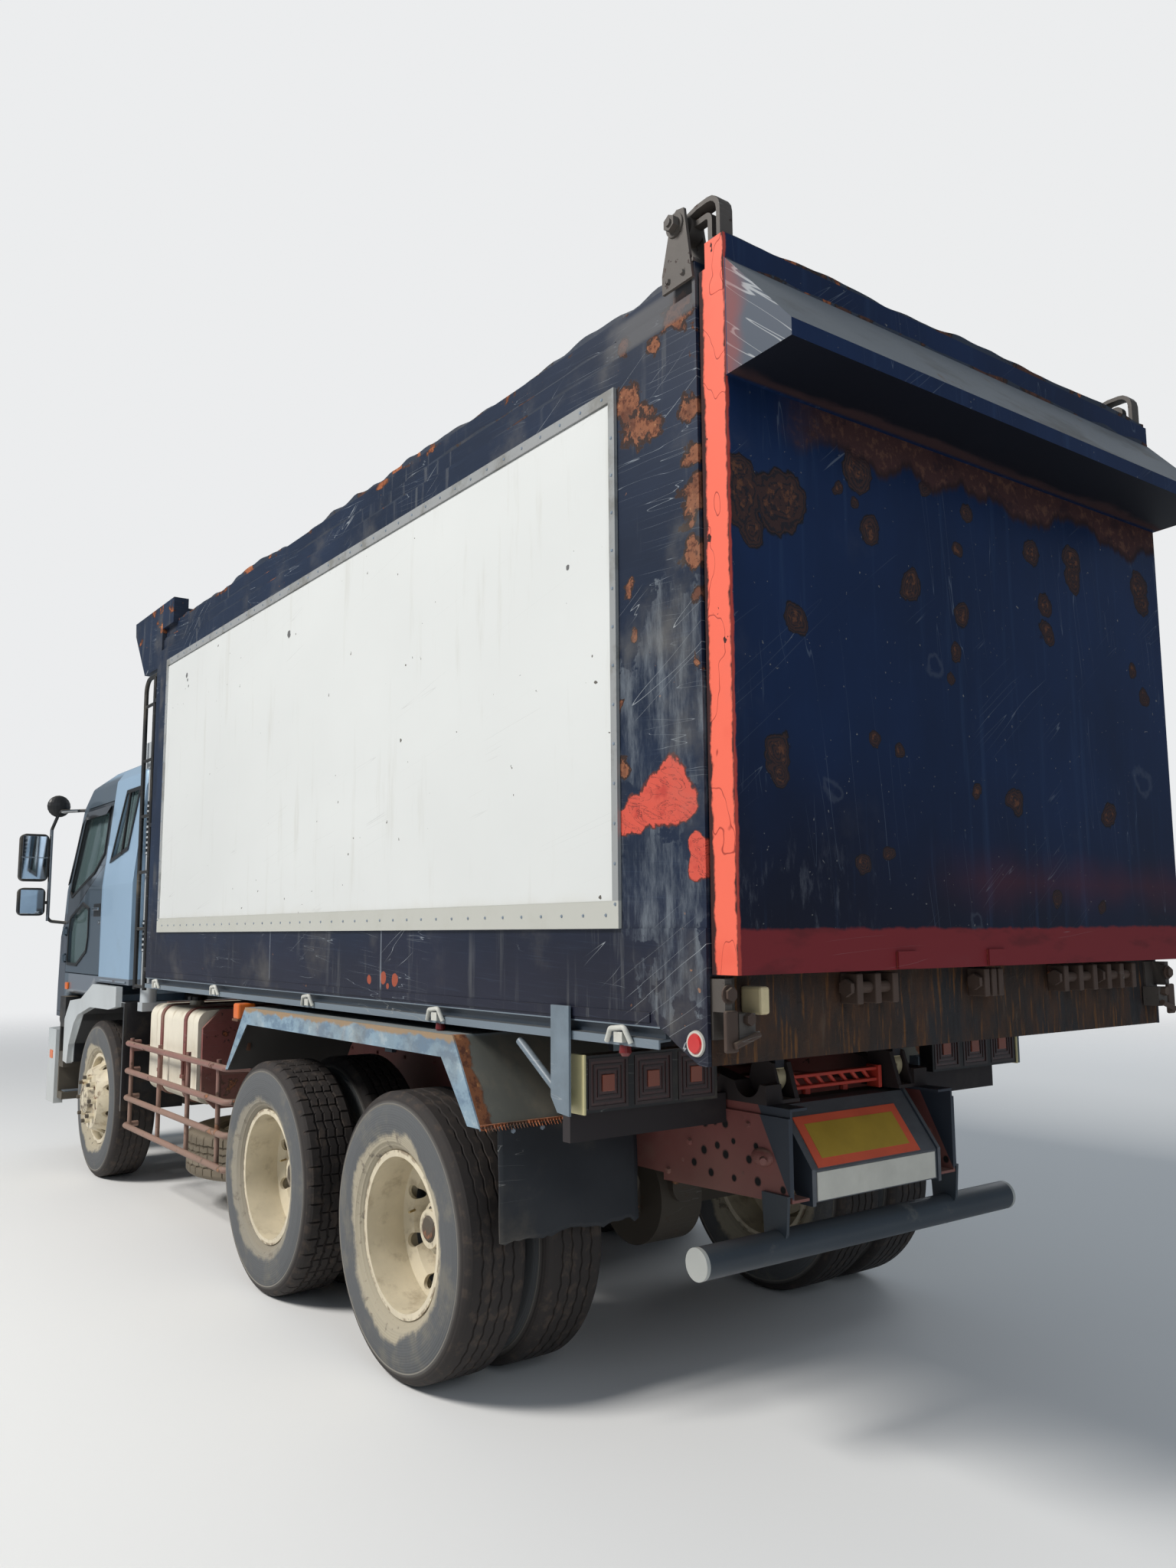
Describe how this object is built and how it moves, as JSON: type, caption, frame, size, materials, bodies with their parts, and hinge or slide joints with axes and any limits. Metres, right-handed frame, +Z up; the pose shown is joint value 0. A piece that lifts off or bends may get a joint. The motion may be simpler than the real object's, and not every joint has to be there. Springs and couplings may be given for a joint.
{
  "type": "dump truck",
  "caption": "Cab-over six-wheel tipper with a deep steel bed, top-hung tailgate, side guards, steps, ladder and twin tipping cylinders.",
  "frame": {"origin": "on the ground, below the middle of the overall length and width", "axes": "+X forward towards the cab, +Y to the truck's left, +Z up"},
  "size_m": [7.896, 2.98, 3.738],
  "materials": {
    "frame_paint": "worn satin, dusty",
    "dark_steel": "matt, dirty",
    "bed_navy": "worn satin with rust and scratches",
    "gate_navy": "worn, rust blisters",
    "panel_white": "scuffed white sheet",
    "rail_blue_grey": "worn satin",
    "fender_blue": "worn satin with rust edge",
    "galvanised": "dull",
    "cream_paint": "gloss",
    "tank_cream": "satin, dusty",
    "guard_rust": "rusty satin",
    "cab_blue": "gloss metallic",
    "cab_grey": "satin",
    "trim_dark": "matt",
    "window_glass": "clear, dusty",
    "lamp_red": "gloss",
    "lamp_clear": "clear",
    "tyre": "dusty, worn",
    "wheel_cream": "dusty satin",
    "rubber": "matt",
    "bright_bar": "polished rod"
  },
  "bodies": {
    "chassis": {"frame_rails": "frame_paint", "subframe": "frame_paint", "front_axle": "dark_steel", "rear_axles": "dark_steel", "suspension": "dark_steel", "driveline": "dark_steel", "fuel_tank": "tank_cream", "tank_mounts": "frame_paint", "side_guards": "guard_rust", "underrun_bar": "fender_blue", "reflector_box": "rail_blue_grey", "lamp_boxes": "trim_dark", "lamp_lenses": "lamp_red", "lamp_stays": "galvanised", "rear_fenders": "fender_blue", "mudflaps": "rubber", "front_bumper": "cab_grey", "head_lamps": "lamp_clear", "front_fenders": "cab_grey", "cab_steps": "trim_dark", "air_duct": "galvanised", "battery_box": "trim_dark", "air_tanks": "dark_steel", "silencer": "dark_steel", "spare_tyre": "tyre", "spare_rim": "wheel_cream"},
    "hoist_barrels": {"hoist_barrels": "frame_paint"},
    "hoist_rods": {"hoist_rods": "bright_bar"},
    "bed": {"bed_floor": "bed_navy", "bed_sides": "bed_navy", "headboard": "bed_navy", "side_panels": "panel_white", "side_rails": "rail_blue_grey", "side_markers": "cream_paint", "ladder": "trim_dark", "gate_fittings": "galvanised"},
    "tailgate": {"tailgate": "gate_navy", "gate_arms": "galvanised"},
    "cab": {"cab_shell": "cab_blue", "cab_glass": "window_glass", "cab_interior": "trim_dark", "mirrors": "trim_dark"},
    "door_left": {"door_left": "cab_blue", "door_glass_left": "window_glass"},
    "door_right": {"door_right": "cab_blue", "door_glass_right": "window_glass"},
    "mid_left_wheels": {"mid_left_tyres": "tyre", "mid_left_rims": "wheel_cream"},
    "mid_right_wheels": {"mid_right_tyres": "tyre", "mid_right_rims": "wheel_cream"},
    "rear_left_wheels": {"rear_left_tyres": "tyre", "rear_left_rims": "wheel_cream"},
    "rear_right_wheels": {"rear_right_tyres": "tyre", "rear_right_rims": "wheel_cream"},
    "knuckle_left": {"knuckle_left": "dark_steel"},
    "front_left_wheel": {"front_left_tyre": "tyre", "front_left_rim": "wheel_cream"},
    "knuckle_right": {"knuckle_right": "dark_steel"},
    "front_right_wheel": {"front_right_tyre": "tyre", "front_right_rim": "wheel_cream"}
  },
  "joints": [
    {"name": "mid_left_spin", "type": "hinge", "parent": "chassis", "child": "mid_left_wheels", "pos_m": [-0.61, 0.925, 0.515], "axis": [0, 1, 0], "continuous": true},
    {"name": "mid_right_spin", "type": "hinge", "parent": "chassis", "child": "mid_right_wheels", "pos_m": [-0.61, -0.925, 0.515], "axis": [0, 1, 0], "continuous": true},
    {"name": "rear_left_spin", "type": "hinge", "parent": "chassis", "child": "rear_left_wheels", "pos_m": [-1.92, 0.925, 0.515], "axis": [0, 1, 0], "continuous": true},
    {"name": "rear_right_spin", "type": "hinge", "parent": "chassis", "child": "rear_right_wheels", "pos_m": [-1.92, -0.925, 0.515], "axis": [0, 1, 0], "continuous": true},
    {"name": "steer_left", "type": "hinge", "parent": "chassis", "child": "knuckle_left", "pos_m": [2.61, 0.87, 0.515], "axis": [0, 0, 1], "range_deg": [-38, 38]},
    {"name": "front_left_spin", "type": "hinge", "parent": "knuckle_left", "child": "front_left_wheel", "pos_m": [2.61, 1.025, 0.515], "axis": [0, 1, 0], "continuous": true},
    {"name": "steer_right", "type": "hinge", "parent": "chassis", "child": "knuckle_right", "pos_m": [2.61, -0.87, 0.515], "axis": [0, 0, 1], "range_deg": [-38, 38]},
    {"name": "front_right_spin", "type": "hinge", "parent": "knuckle_right", "child": "front_right_wheel", "pos_m": [2.61, -1.025, 0.515], "axis": [0, 1, 0], "continuous": true},
    {"name": "cab_tilt", "type": "hinge", "parent": "chassis", "child": "cab", "pos_m": [3.8, 0, 0.945], "axis": [0, 1, 0], "range_deg": [0, 45]},
    {"name": "door_left_swing", "type": "hinge", "parent": "cab", "child": "door_left", "pos_m": [3.672, 1.165, 1.9], "axis": [0, 0, -1], "range_deg": [0, 70]},
    {"name": "door_right_swing", "type": "hinge", "parent": "cab", "child": "door_right", "pos_m": [3.672, -1.165, 1.9], "axis": [0, 0, 1], "range_deg": [0, 70]},
    {"name": "bed_tip", "type": "hinge", "parent": "chassis", "child": "bed", "pos_m": [-2.97, 0, 1.115], "axis": [0, -1, 0], "range_deg": [0, 50]},
    {"name": "tailgate_swing", "type": "hinge", "parent": "bed", "child": "tailgate", "pos_m": [-3.514, 0, 3.692], "axis": [0, 1, 0], "range_deg": [0, 60]},
    {"name": "hoist_swing", "type": "hinge", "parent": "chassis", "child": "hoist_barrels", "pos_m": [0.4, 0, 0.65], "axis": [0, 1, 0], "range_deg": [0, 17]},
    {"name": "hoist_stroke", "type": "slide", "parent": "hoist_barrels", "child": "hoist_rods", "axis": [-0.9603, 0, 0.2789], "range_m": [0, 0.83]}
  ],
  "couplings": [
    {"joint": "steer_right", "follows": "steer_left", "ratio": 1},
    {"joint": "hoist_swing", "follows": "bed_tip", "ratio": 0.337},
    {"joint": "hoist_stroke", "follows": "bed_tip", "m_per_rad": 0.928}
  ]
}
